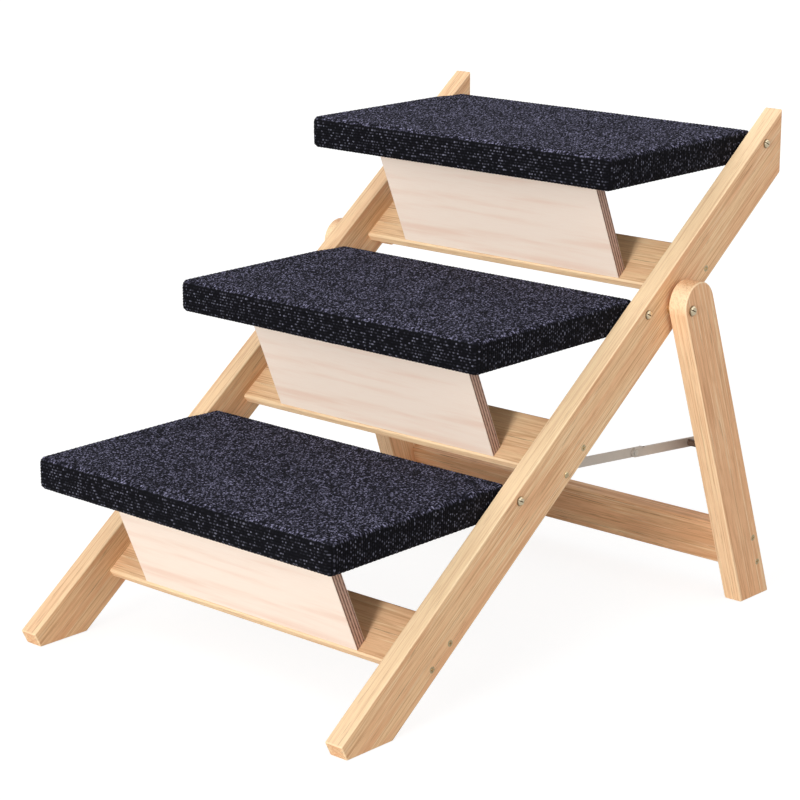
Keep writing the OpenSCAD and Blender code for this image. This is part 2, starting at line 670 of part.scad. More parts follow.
module hinge_tread_screws_3() tread_leaf_screws(2);
module support_panel_3() panel(2);
module hinge_panel_leaves_3() panel_leaves(2);
module hinge_panel_screws_3() panel_leaf_screws(2);

rail_left();
rail_right();
lower_slat();
middle_slat();
upper_slat();
slat_cleats();
cleat_screws();
slat_fixing_screws();
tread_pivot_bolts();
tread_pivot_washers();
leg_pivot_bolts();
leg_pivot_spacers();
leg_pivot_inserts();
stay_rail_bolts();
stay_rail_sleeves();
stay_rail_nuts();
leg_left();
leg_right();
leg_crossbar();
crossbar_screws();
stay_leg_spacers();
stay_leg_studs();
stay_front_bar_left();
stay_front_bar_right();
stay_joint_rivet_left();
stay_joint_rivet_right();
stay_rear_bar_left();
stay_rear_bar_right();
stay_end_rivet_left();
stay_end_rivet_right();
tread_board_1();
tread_carpet_1();
tread_bushes_1();
carpet_staples_1();
hinge_tread_leaves_1();
hinge_pins_1();
hinge_tread_screws_1();
support_panel_1();
hinge_panel_leaves_1();
hinge_panel_screws_1();
tread_board_2();
tread_carpet_2();
tread_bushes_2();
carpet_staples_2();
hinge_tread_leaves_2();
hinge_pins_2();
hinge_tread_screws_2();
support_panel_2();
hinge_panel_leaves_2();
hinge_panel_screws_2();
tread_board_3();
tread_carpet_3();
tread_bushes_3();
carpet_staples_3();
hinge_tread_leaves_3();
hinge_pins_3();
hinge_tread_screws_3();
support_panel_3();
hinge_panel_leaves_3();
hinge_panel_screws_3();
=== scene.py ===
import json
from math import atan2, cos, hypot, pi, radians

import bmesh
import bpy
from mathutils import Euler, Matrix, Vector, noise

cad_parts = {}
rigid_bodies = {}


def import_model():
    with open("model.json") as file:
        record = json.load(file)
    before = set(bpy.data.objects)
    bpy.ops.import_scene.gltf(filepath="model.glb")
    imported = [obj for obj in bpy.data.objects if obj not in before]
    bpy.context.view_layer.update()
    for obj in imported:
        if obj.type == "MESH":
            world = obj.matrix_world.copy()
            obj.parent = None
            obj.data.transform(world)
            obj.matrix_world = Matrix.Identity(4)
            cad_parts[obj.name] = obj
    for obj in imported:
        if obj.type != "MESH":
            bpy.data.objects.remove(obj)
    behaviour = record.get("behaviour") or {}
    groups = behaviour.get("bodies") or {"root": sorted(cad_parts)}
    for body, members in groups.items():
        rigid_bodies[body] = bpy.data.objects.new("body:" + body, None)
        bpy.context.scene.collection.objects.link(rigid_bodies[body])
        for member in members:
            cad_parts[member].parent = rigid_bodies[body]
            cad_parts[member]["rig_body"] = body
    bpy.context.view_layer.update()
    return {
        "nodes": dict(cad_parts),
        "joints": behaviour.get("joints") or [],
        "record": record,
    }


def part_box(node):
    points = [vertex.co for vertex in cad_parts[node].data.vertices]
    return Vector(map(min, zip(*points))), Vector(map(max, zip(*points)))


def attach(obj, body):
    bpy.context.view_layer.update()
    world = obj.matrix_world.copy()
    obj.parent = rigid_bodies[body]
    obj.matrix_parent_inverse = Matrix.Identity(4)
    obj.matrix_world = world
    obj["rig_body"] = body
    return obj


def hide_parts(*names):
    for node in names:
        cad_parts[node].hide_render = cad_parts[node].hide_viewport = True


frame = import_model()
nodes = frame["nodes"]

# Folding pet stairs: pine rails, slats and legs with eased edges, plywood support panels,
# treads wrapped in a ribbed loop carpet, zinc fasteners and flat steel stays.

MM = 0.001
SIDES = ("left", "right")
STEPS = (1, 2, 3)
joints = {joint["name"]: joint for joint in frame["joints"]}
slots = {piece["node"]: piece["material_slot"] for piece in frame["record"]["subparts"]}


def joint_place(name):
    return Vector(joints[name]["pos_m"])


# Leans are from level. The rails' lean is that of the line through the treads' pivots.
step = joint_place("tread_2_lift") - joint_place("tread_1_lift")
RAIL_LEAN = atan2(step.z, step.y)
LEG_LEAN = radians(70.7)
PANEL_LEAN = radians(67.18)
PANEL_T = 12 * MM
HEM_W = 28 * MM
CARPET_T = 4.5 * MM


# Camera
CAMERA_PLACE = (1.5370, -1.7144, 0.8466)
CAMERA_TURN = radians(42.03)
CAMERA_TILT = radians(90 - 15.32)
CAMERA_LENS = 110.9
CAMERA_SENSOR = 36
CAMERA_REACH = 100


def set_camera():
    view = bpy.data.cameras.new("camera")
    view.lens = CAMERA_LENS
    view.sensor_width = CAMERA_SENSOR
    view.clip_end = CAMERA_REACH
    camera = bpy.data.objects.new("camera", view)
    camera.location = CAMERA_PLACE
    camera.rotation_euler = (CAMERA_TILT, 0, CAMERA_TURN)
    bpy.context.scene.collection.objects.link(camera)
    bpy.context.scene.camera = camera


# Finishes
class Wire:
    """A value between nodes. The usual signs between wires and numbers add Math nodes."""

    def __init__(self, nodes, socket):
        self.nodes = nodes
        self.socket = socket

    def math(self, operation, *values):
        return self.nodes.add("ShaderNodeMath", {"operation": operation}, dict(enumerate(values)))

    def __add__(self, other):
        return self.math("ADD", self, other)

    def __radd__(self, other):
        return self.math("ADD", other, self)

    def __sub__(self, other):
        return self.math("SUBTRACT", self, other)

    def __rsub__(self, other):
        return self.math("SUBTRACT", other, self)

    def __mul__(self, other):
        return self.math("MULTIPLY", self, other)

    def __rmul__(self, other):
        return self.math("MULTIPLY", other, self)

    def __truediv__(self, other):
        return self.math("DIVIDE", self, other)

    def __pow__(self, other):
        return self.math("POWER", self, other)

    def __gt__(self, other):
        return self.math("GREATER_THAN", self, other)

    def __lt__(self, other):
        return self.math("LESS_THAN", self, other)

    def fraction(self):
        return self.math("FRACT", self)

    def floor(self):
        return self.math("FLOOR", self)

    def wave(self):
        """0 at each whole number and 1 half way between them."""
        return self.math("SINE", self.fraction() * pi)

    def within(self, low, high):
        """0 at low and 1 at high, smoothed and held outside them."""
        return self.nodes.add(
            "ShaderNodeMapRange",
            {"interpolation_type": "SMOOTHSTEP"},
            {"Value": self, "From Min": low, "From Max": high})


class Nodes:
    """A node tree. add puts in any node, and join sets or links one socket."""

    def __init__(self, tree):
        self.tree = tree

    def join(self, socket, value):
        if isinstance(value, Wire):
            self.tree.links.new(value.socket, socket)
        else:
            socket.default_value = value

    def add(self, kind, settings=None, values=None, output=0):
        node = self.tree.nodes.new(kind)
        for name, setting in (settings or {}).items():
            if name == "stops":
                set_stops(node.color_ramp.elements, setting)
            else:
                setattr(node, name, setting)
        for key, value in (values or {}).items():
            self.join(node.inputs[key], value)
        return Wire(self, node.outputs[output])


class Finish(Nodes):
    """One material, built on a Principled shader."""

    def __init__(self, name, **constants):
        self.material = bpy.data.materials.new(name)
        self.material.use_nodes = True
        super().__init__(self.material.node_tree)
        self.shader = self.tree.nodes["Principled BSDF"]
        self.set(**constants)

    def set(self, **values):
        for name, value in values.items():
            self.join(self.shader.inputs[name.replace("_", " ")], value)

    def place(self, output="Object"):
        return self.add("ShaderNodeTexCoord", output=output)

    def turned(self, vector, turn, shift=(0, 0, 0)):
        return self.add(
            "ShaderNodeMapping",
            values={"Vector": vector, "Rotation": turn, "Location": shift})

    def split(self, vector):
        parts = self.add("ShaderNodeSeparateXYZ", values={"Vector": vector})
        return [Wire(self, parts.socket.node.outputs[axis]) for axis in "XYZ"]

    def vector(self, x, y, z):
        return self.add("ShaderNodeCombineXYZ", values={"X": x, "Y": y, "Z": z})

    def noise(self, vector, scale=1, detail=2, roughness=0.5):
        return self.add(
            "ShaderNodeTexNoise",
            values={"Vector": vector, "Scale": scale, "Detail": detail, "Roughness": roughness})

    def random(self, vector):
        return self.add("ShaderNodeTexWhiteNoise", values={"Vector": vector})

    def ramp(self, factor, *stops):
        return self.add("ShaderNodeValToRGB", {"stops": stops}, {"Fac": factor})

    def mix(self, factor, first, second):
        factor_socket, first_socket, second_socket, colour_output = 0, 6, 7, 2
        return self.add(
            "ShaderNodeMix",
            {"data_type": "RGBA"},
            {factor_socket: factor, first_socket: first, second_socket: second},
            colour_output)

    def bump(self, height, distance, strength=1):
        return self.add(
            "ShaderNodeBump",
            values={"Height": height, "Distance": distance, "Strength": strength})


def set_stops(elements, stops):
    while len(elements) < len(stops):
        elements.new(0)
    for element, (position, colour) in zip(elements, stops):
        element.position = position
        element.color = colour


def srgb(red, green, blue):
    """A colour as it looks on screen, 0 to 255, as a shader colour."""
    shares = [value / 255 for value in (red, green, blue)]
    return (*[s / 12.92 if s <= 0.04045 else ((s + 0.055) / 1.055) ** 2.4 for s in shares], 1)


def grey(value):
    return (value, value, value, 1)


def middle(node):
    low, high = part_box(node)
    return (low + high) / 2


# Pine. The grain runs along a piece: rails, legs and slats each turn it their own way.
# Pale sapwood tone, also used to paint the light on the lit faces and the highlight on the eased
# edges.
PINE_SAP_AND_PAINTED_LIGHT = srgb(254, 226, 184)
PINE_PALE = srgb(247, 206, 158)
PINE_WARM = srgb(240, 187, 140)
PINE_LATE = srgb(194, 136, 90)
PINE_PORE = srgb(146, 96, 60)
ALONG_RAIL = (-RAIL_LEAN, 0, -pi / 2)
ALONG_LEG = (LEG_LEAN, 0, -pi / 2)
ACROSS_RAILS = (-RAIL_LEAN, 0, 0)
ACROSS_LEGS = (LEG_LEAN, 0, 0)
RING = 5.2 * MM
RING_SWAY = 13 * MM
GRAIN_RELIEF = 0.1 * MM


def pine(name, node, turn, pith, lean, lit_side, ring=RING, rings=0.3, warm=0.5):
    """Pine round a pith beside the piece. lean tips the rings along the grain, for arches.
    The argument after lean gives the way in which faces are painted paler, as painted light, in the
    grain's own axes, ring is the width of a year's wood, rings is how dark the late wood is, and
    warm is the share of reddish wood, and the eased edges get a painted highlight."""
    finish = Finish(name, Roughness=0.5)
    shift = -(Euler(turn).to_matrix() @ middle(node))
    grain = finish.turned(finish.place(), turn, shift)
    along, across, through = finish.split(grain)

    def figure(along_scale, across_scale, detail=3, offset=0):
        return finish.noise(
            finish.vector(
                along * along_scale + offset, across * across_scale, through * across_scale),
            detail=detail, roughness=0.55)

    sway = figure(5, 24) - 0.5
    to_side = across + along * lean[0] + pith[0]
    to_face = through + along * lean[1] + pith[1]
    count = ((to_side * to_side + to_face * to_face) ** 0.5 + sway * RING_SWAY) / ring
    strong = finish.random(finish.vector(count.floor(), 3.7, 1.3))
    late = finish.ramp(
        count.fraction(),
        (0, grey(0.1)), (0.12, grey(0)), (0.5, grey(0.14)), (0.86, grey(1)), (1, grey(0.1)))
    reddish = figure(7, 90).within(0.72 - warm * 0.5, 0.92 - warm * 0.5)
    streak = figure(8, 620, 4)
    pale_streak = figure(9, 460, 3, 40)
    fibre = figure(60, 1300)
    dash = figure(20, 900, 3, 80)
    # Painted light: faces turned the lit way are painted paler, with their grain marks faded, as if
    # lit.
    facing = finish.add(
        "ShaderNodeVectorMath",
        {"operation": "DOT_PRODUCT"},
        {0: finish.turned(finish.place("Normal"), turn), 1: lit_side},
        "Value")
    pale = facing.within(0.5, 0.95) * 0.8
    shown = 1 - pale * 0.55
    colour = finish.mix(reddish, PINE_PALE, PINE_WARM)
    colour = finish.mix(pale, colour, PINE_SAP_AND_PAINTED_LIGHT)
    colour = finish.mix(late * (strong * 0.8 + 0.2) * rings * shown, colour, PINE_LATE)
    colour = finish.mix(streak.within(0.5, 0.66) * 0.6 * shown, colour, PINE_LATE)
    colour = finish.mix(pale_streak.within(0.52, 0.68) * 0.6, colour, PINE_SAP_AND_PAINTED_LIGHT)
    colour = finish.mix(fibre.within(0.4, 0.7) * 0.3 * shown, colour, PINE_LATE)
    colour = finish.mix(dash.within(0.62, 0.68) * 0.7 * shown, colour, PINE_PORE)
    # Painted highlight: the rounded-over edges are painted pale, as if catching the light.
    arris = finish.add("ShaderNodeAttribute", {"attribute_name": "arris"}, output="Fac")
    colour = finish.mix(arris * 0.6, colour, PINE_SAP_AND_PAINTED_LIGHT)
    finish.set(
        Base_Color=colour,
        Roughness=0.42 + fibre * 0.16,
        Normal=finish.bump(fibre + streak * 0.5 + late * 0.3, GRAIN_RELIEF, 0.35))
    return finish.material


# Plywood: face veneers with a faint grain across the stairs, and bands on the sawn edges
VENEER_PALE = srgb(252, 234, 218)
VENEER_PINK = srgb(244, 214, 194)
PLY_LONG = srgb(218, 184, 166)
PLY_END = srgb(98, 62, 50)
VENEER_T = 0.6 * MM
PLIES = 7
PLY_RELIEF = 0.08 * MM


def plywood(name, node):
    finish = Finish(name)
    turn = (PANEL_LEAN, 0, 0)
    low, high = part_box(node)
    front_top = Vector((0, low.y, high.z))
    shift = -(Euler(turn).to_matrix() @ front_top)
    across, down, deep = finish.split(finish.turned(finish.place(), turn, shift))
    figure = finish.noise(finish.vector(across * 5, down * 70, deep * 90), detail=4)
    fibre = finish.noise(finish.vector(across * 50, down * 1400, deep * 1400), detail=3)
    face = finish.mix(figure.within(0.45, 0.75), VENEER_PALE, VENEER_PINK)
    face = finish.mix(fibre.within(0.4, 0.8) * 0.25, face, VENEER_PINK)
    ply = (deep - VENEER_T) / ((PANEL_T - 2 * VENEER_T) / PLIES)
    band = (ply * 0.5).fraction() < 0.5
    inside = (deep > VENEER_T) * (deep < PANEL_T - VENEER_T)
    rough = finish.noise(finish.vector(across * 600, down * 260, deep * 1800), detail=3)
    end = finish.mix(rough.within(0.35, 0.7) * 0.5, PLY_END, PLY_LONG)
    core = finish.mix(band, finish.mix(rough * 0.3, PLY_LONG, PLY_END), end)
    finish.set(
        Base_Color=finish.mix(inside, face, core),
        Roughness=0.5 + fibre * 0.15,
        Normal=finish.bump(fibre + inside * rough, PLY_RELIEF, 0.4))
    return finish.material


# Carpet: loops in rows that run across the stairs. The piece's own rows map counts the loops
# along a row (u) and the rows (v). Yarns differ loop by loop, and the dark backing shows between
# them, with painted shade in those gaps. The top is painted lighter than the front, rear and ends,
# as painted light, and its bright flecks are partly yarn and partly painted glints.
# The dark backing colour, which also stands for painted shade in the gaps between the loops.
CARPET_BACKING_AND_SHADE = srgb(7, 7, 11)
# The side colours are darker as painted shade and the top colours lighter as painted light; the
# top's flecks are partly painted glints.
SHADED_SIDE_YARN = srgb(12, 12, 19)
SHADED_SIDE_FLECK = srgb(116, 116, 132)
LIT_TOP_YARN = srgb(18, 18, 27)
LIT_TOP_FLECK_AND_GLINT = srgb(158, 156, 188)
LOOP_RELIEF = 0.7 * MM


def loop_carpet():
    finish = Finish("loop_carpet", Roughness=0.95, Specular_IOR_Level=0.12)
    u, v, _ = finish.split(finish.add("ShaderNodeUVMap", {"uv_map": "rows"}))
    # Painted light: faces turned up get the lighter top colours, the front, rear and ends the
    # darker, shaded side colours.
    top = finish.split(finish.place("Normal"))[2].within(0.35, 0.8)
    wander = finish.noise(finish.place(), 240, 1) - 0.5
    row = v + wander * 0.2
    odd = (row * 0.5).fraction() > 0.5
    loop = u + odd * 0.5 + 0.5 + wander * 0.5
    ridge = row.wave()
    tuft = ridge * (0.5 + loop.wave() * 0.5)
    pick = finish.random(finish.vector((loop * 2).floor(), row.floor(), 0))
    speck = finish.random(finish.vector((loop * 3).floor(), (row * 2).floor(), 0.5))
    fuzz = finish.noise(finish.place(), 1500, 2)
    patch = finish.noise(finish.place(), 45, 3)
    side = finish.mix(pick ** 5, SHADED_SIDE_YARN, SHADED_SIDE_FLECK)
    # Painted shade: the dark backing colour fills the gaps between the loops on the front, rear and
    # ends.
    side = finish.mix(tuft.within(0.42, 0.95), CARPET_BACKING_AND_SHADE, side)
    # The top's bright flecks are partly yarn and partly painted glints.
    upper = finish.mix(speck ** 5 * (0.5 + fuzz), LIT_TOP_YARN, LIT_TOP_FLECK_AND_GLINT)
    # Painted shade in the valleys between the rows on the top.
    upper = finish.mix(0.4 + ridge * 0.6, CARPET_BACKING_AND_SHADE, upper)
    colour = finish.mix(top, side, upper)
    colour = finish.mix(patch.within(0.4, 0.75) * 0.2, colour, CARPET_BACKING_AND_SHADE)
    finish.set(Base_Color=colour, Normal=finish.bump(tuft + fuzz * 0.5, LOOP_RELIEF, 0.7))
    return finish.material


# Boards, plated steel and plastic
SAWN_PALE = srgb(228, 192, 148)
SAWN_DARK = srgb(196, 152, 106)
SAWN_RELIEF = 0.1 * MM
FASTENER_ZINC = srgb(244, 222, 178)
HINGE_NICKEL = srgb(196, 192, 186)
STAY_ZINC = srgb(214, 204, 193)
RIVET_NICKEL = srgb(236, 234, 228)
METAL_RELIEF = 0.02 * MM
EVEN_BRUSH = (300, 300, 300)
BRUSH_ALONG_X = (90, 900, 900)
BRUSH_ALONG_Y = (900, 120, 900)
BOLT_BRIGHT = srgb(254, 236, 200)
# Painted shade for the bolts' slots and rims.
BOLT_PAINTED_SHADE = srgb(92, 68, 40)
CROWN_DEPTHS = (0.7 * MM, 0.2 * MM)
SLOT_SHARE = 0.74
# The bush's dark brown is partly its own colour and partly painted shade.
BUSH_BROWN_AND_SHADE = srgb(58, 42, 34)
BUSH_BLOOM = srgb(104, 78, 60)
BUSH_RELIEF = 0.05 * MM


def sawn_board():
    """Plain sawn board, seen only from below and behind."""
    finish = Finish("sawn_board", Roughness=0.65)
    along, across, through = finish.split(finish.place())
    grain = finish.noise(finish.vector(along * 6, across * 160, through * 160), detail=4)
    colour = finish.mix(grain.within(0.35, 0.7), SAWN_PALE, SAWN_DARK)
    finish.set(Base_Color=colour, Normal=finish.bump(grain, SAWN_RELIEF, 0.5))
    return finish.material


def metal(name, colour, dull, brush, metallic=1, shade_share=0.35):
    """Plated steel. brush is how close the drawing marks lie along each axis."""
    finish = Finish(name, Metallic=metallic)
    along, across, through = finish.split(finish.place())
    marks = finish.noise(
        finish.vector(along * brush[0], across * brush[1], through * brush[2]), detail=3)
    cloud = finish.noise(finish.place(), 60, 2)
    shade = [channel * (1 - shade_share) for channel in colour[:3]]
    finish.set(
        Base_Color=finish.mix(marks * 0.5 + cloud * 0.4, (*shade, 1), colour),
        Roughness=dull + marks * 0.12 + cloud * 0.08,
        Normal=finish.bump(marks, METAL_RELIEF, 0.3))
    return finish.material


def pivot_bolt(node, pivots):
    """Bright zinc for bolts that lie along X. It has painted shade in the slots, which lie below
    the crowns of the heads, and round the rims."""
    low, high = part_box(node)
    heights = [pivot.z for pivot in pivots]
    head_r = (high.z - low.z - (max(heights) - min(heights))) / 2
    finish = Finish(f"{node}_zinc", Metallic=1)
    across, back, up = finish.split(finish.place())
    away = head_r
    for pivot in pivots:
        to_back, to_top = back - pivot.y, up - pivot.z
        away = up.math("MINIMUM", away, (to_back * to_back + to_top * to_top) ** 0.5)
    out = away / head_r
    crown = across.math("ABSOLUTE", across).within(*[high.x - depth for depth in CROWN_DEPTHS])
    cloud = finish.noise(finish.place(), 300, 3)
    # Painted shade: dark in the slots and round the rims of the heads.
    dark = up.math("MAXIMUM", (1 - crown) * (out < SLOT_SHARE), out.within(0.8, 1) * 0.8)
    finish.set(
        Base_Color=finish.mix(dark, BOLT_BRIGHT, BOLT_PAINTED_SHADE),
        Roughness=0.14 + cloud * 0.1 + dark * 0.2,
        Normal=finish.bump(cloud, METAL_RELIEF, 0.3))
    return finish.material


def dark_shaded_bush():
    """Dark brown moulded plastic, partly its own colour and partly painted shade beside the leg,
    with the dull bloom that it gets from handling.
    """
    finish = Finish("dark_shaded_bush", Roughness=0.5)
    bloom = finish.noise(finish.place(), 240, 4)
    finish.set(
        Base_Color=finish.mix(bloom, BUSH_BROWN_AND_SHADE, BUSH_BLOOM),
        Roughness=0.4 + bloom * 0.3,
        Normal=finish.bump(bloom, BUSH_RELIEF, 0.3))
    return finish.material


# Pieces
def new_piece(name, shape, material, node, smooth_angle=40):
    """Makes the piece from a bmesh, in the place of a CAD node, on that node's body."""
    mesh = bpy.data.meshes.new(name)
    bmesh.ops.recalc_face_normals(shape, faces=shape.faces)
    shape.to_mesh(mesh)
    shape.free()
    mesh.shade_smooth()
    mesh.set_sharp_from_angle(angle=radians(smooth_angle))
    mesh.materials.append(material)
    piece = bpy.data.objects.new(name, mesh)
    bpy.context.scene.collection.objects.link(piece)
    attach(piece, nodes[node]["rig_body"])
    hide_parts(node)
    return piece


# Eased edges: how far each kind of piece is rounded over
RAIL_EASE = 1.3 * MM
LEG_EASE = 1.5 * MM
CROSSBAR_EASE = 0.6 * MM
SLAT_EASE = 0.5 * MM
PANEL_EASE = 0.4 * MM
WELD = 0.001 * MM
FLAT_ANGLE = radians(0.6)
HARD_ANGLE = radians(25)
SHORTEST_EASED = 2.5 * MM


def eased(node, name, material, ease, segments=3):
    """The CAD piece's own shape with its long hard edges rounded over. A vertex layer marks the
    rounding, which the pine finish paints with a painted highlight.
    """
    shape = bmesh.new()
    shape.from_mesh(nodes[node].data)
    arris = shape.verts.layers.float.new("arris")
    bmesh.ops.remove_doubles(shape, verts=shape.verts, dist=WELD)
    bmesh.ops.dissolve_limit(
        shape, angle_limit=FLAT_ANGLE, verts=shape.verts, edges=shape.edges)
    hard = [
        edge for edge in shape.edges
        if edge.is_manifold and edge.calc_face_angle(0) > HARD_ANGLE
        and edge.calc_length() > SHORTEST_EASED]
    rounded = bmesh.ops.bevel(
        shape, geom=hard, offset=ease, offset_type="OFFSET", affect="EDGES", segments=segments,
        profile=0.5, material=-1, clamp_overlap=True)
    strips = set(rounded["faces"])
    for vertex in rounded["verts"]:
        vertex[arris] = float(all(face in strips for face in vertex.link_faces))
    piece = new_piece(name, shape, material, node)
    weighted = piece.modifiers.new("flat_faces", "WEIGHTED_NORMAL")
    weighted.keep_sharp = True
    weighted.weight = 100


# Each timber's pith lies beside its middle, in metres across the grain, and its lean is the
# rings' slope along the grain. Both are chosen, and so are the slats' shares of warm wood.
RAIL_PITHS = ((0.02, 0.046), (0.016, -0.052))
RAIL_LEANS = ((0.006, 0.012), (-0.004, 0.01))
# Painted light: each rail's faces that look this way, in the grain's own axes, are painted paler.
RAIL_LIT_SIDE = ((0, 0, 0.74), (0, 0, 1))
LEG_PITHS = ((0.05, 0.0), (0.03, 0.006))
LEG_LEANS = ((0.05, 0.01), (0.075, -0.012))
# Painted light: the legs' faces that look this way are painted paler.
LEG_LIT_SIDE = (-0.6, 0, -0.75)
CROSSBAR_PITH = (0.004, 0.03)
CROSSBAR_LEAN = (0.01, 0.04)
CROSSBAR_RING = 8 * MM
SLATS = ("lower", "middle", "upper")
SLAT_PITHS = ((0.01, 0.04), (-0.014, 0.045), (0.02, 0.035))
SLAT_LEANS = ((0.01, 0.02), (-0.012, 0.03), (0.008, -0.02))
# Painted light: the slats' faces that look this way are painted paler.
SLAT_LIT_SIDE = (0, -0.8, 0.68)
SLAT_WARM_SHARES = (0.7, 0.5, 0.45)
CLEAT_PITH = (0.03, 0.04)
CLEAT_LEAN = (0.01, 0)
# Painted light: the crossbar's and cleats' faces that look this way are painted paler.
TOWARD_FACE = (0, 0, 1)


def rails():
    for side, pith, lean, lit_side in zip(SIDES, RAIL_PITHS, RAIL_LEANS, RAIL_LIT_SIDE):
        node = f"rail_{side}"
        material = pine(f"rail_pine_{side}", node, ALONG_RAIL, pith, lean, lit_side, warm=0.6)
        eased(node, f"side_rail_{side}", material, RAIL_EASE)


def legs():
    for side, pith, lean in zip(SIDES, LEG_PITHS, LEG_LEANS):
        node = f"leg_{side}"
        material = pine(
            f"leg_pine_{side}", node, ALONG_LEG, pith, lean, LEG_LIT_SIDE, rings=0.2, warm=1)
        eased(node, f"rear_leg_{side}", material, LEG_EASE)
    material = pine(
        "crossbar_pine", "leg_crossbar", ACROSS_LEGS, CROSSBAR_PITH, CROSSBAR_LEAN, TOWARD_FACE,
        ring=CROSSBAR_RING, rings=0.6, warm=0.9)
    eased("leg_crossbar", "leg_crossbar_board", material, CROSSBAR_EASE)


def slats():
    for name, pith, lean, warm in zip(SLATS, SLAT_PITHS, SLAT_LEANS, SLAT_WARM_SHARES):
        node = f"{name}_slat"
        material = pine(
            f"{name}_slat_pine", node, ACROSS_RAILS, pith, lean, SLAT_LIT_SIDE,
            rings=0.5, warm=warm)
        eased(node, f"{name}_cross_slat", material, SLAT_EASE)


def panels():
    for number in STEPS:
        node = f"support_panel_{number}"
        material = plywood(f"panel_plywood_{number}", node)
        eased(node, f"support_panel_board_{number}", material, PANEL_EASE, segments=2)


# Carpeted treads: a rounded block whose underside has the turned-under hem, round a recess whose
# roof lies hidden in the board. The pile stands a little proud of the CAD skin, but not round the
# pivot, where the washers bear.
EDGE_R = 4.8 * MM
EDGE_SEGMENTS = 8
HEM_EDGE = 1.2 * MM
ROOF_IN_BOARD = 0.6 * MM
ROW_PITCH = 2.8 * MM
LOOP_PITCH = 4 * MM
SPANS_A_ROW = 3
SPANS_A_LOOP = 2
SHORTEST_CUT = 8 * MM
ROW_RISE = 0.22 * MM
LOOP_RISE = 0.24 * MM
FUZZ_RISE = 0.12 * MM
PILE_PROUD = 1.4 * MM
PIVOT_CLEAR = (10 * MM, 40 * MM)
ROWS_A_TREAD = 400
FUZZ_FINE = 700
FUZZ_COARSE = 60


def long_edges(shape, axis):
    """The edges that run along one axis, but for the short ones of the roundings."""
    picked = []
    for edge in shape.edges:
        run = edge.verts[1].co - edge.verts[0].co
        if run.length > SHORTEST_CUT and abs(run[axis]) > 0.999 * run.length:
            picked.append(edge)
    return picked


def tread_block(low, high):
    shape = bmesh.new()
    bmesh.ops.create_cube(shape, size=1)
    bmesh.ops.scale(shape, vec=high - low, verts=shape.verts)
    bmesh.ops.translate(shape, vec=(high + low) / 2, verts=shape.verts)
    bmesh.ops.bevel(
        shape, geom=shape.edges[:], offset=EDGE_R, offset_type="OFFSET", affect="EDGES",
        segments=EDGE_SEGMENTS, profile=0.5, material=-1)
    under = min(shape.faces, key=lambda face: face.calc_center_median().z)
    bmesh.ops.inset_region(shape, faces=[under], thickness=HEM_W - EDGE_R)
    rim = under.edges[:]
    raised = bmesh.ops.extrude_face_region(shape, geom=[under])["geom"]
    bmesh.ops.delete(shape, geom=[under], context="FACES_ONLY")
    inner = [item for item in raised if isinstance(item, bmesh.types.BMVert)]
    bmesh.ops.translate(shape, vec=(0, 0, CARPET_T + ROOF_IN_BOARD), verts=inner)
    bmesh.ops.bevel(
        shape, geom=rim, offset=HEM_EDGE, offset_type="OFFSET", affect="EDGES", segments=2,
        profile=0.5, material=-1)
    return shape


class Rows:
    """The carpet's rows on one tread, unrolled from its top over the front, rear and ends."""

    def __init__(self, low, high, first_row):
        self.low = low + Vector((EDGE_R,) * 3)
        self.high = high - Vector((EDGE_R,) * 3)
        reach = self.high - self.low
        self.rows = round(reach.y / ROW_PITCH)
        self.loops = 2 * round(reach.x / LOOP_PITCH / 2)
        self.row_pitch = reach.y / self.rows
        self.loop_pitch = reach.x / self.loops
        self.first_row = first_row

    def out(self, point):
        """How far, and which way, the point lies outside the block's core."""
        core = [min(max(point[axis], self.low[axis]), self.high[axis]) for axis in range(3)]
        return point - Vector(core)

    def place(self, point, out):
        """Loops and rows to the point, counted over the edge that out leads over."""
        away = self.out(point)
        core = point - away
        drop = self.high.z - core.z
        u, v = point.x, point.y - self.low.y
        if abs(out.x) > abs(out.y):
            over = drop + EDGE_R * atan2(abs(away.x), away.z)
            u = core.x + (over if out.x > 0 else -over)
        elif out.y:
            over = drop + EDGE_R * atan2(abs(away.y), away.z)
            v = core.y - self.low.y + (over if out.y > 0 else -over)
        return u / self.loop_pitch, v / self.row_pitch + self.first_row


def pile_height(u, v):
    """The relief of the loops, about 0."""
    row = 0.5 - cos(2 * pi * v) / 2
    odd = int(v // 1) % 2
    return ROW_RISE * (2 * row - 1) + LOOP_RISE * row * cos(2 * pi * (u + odd / 2))


def eased_share(value, low, high):
    share = min(max((value - low) / (high - low), 0), 1)
    return share * share * (3 - 2 * share)


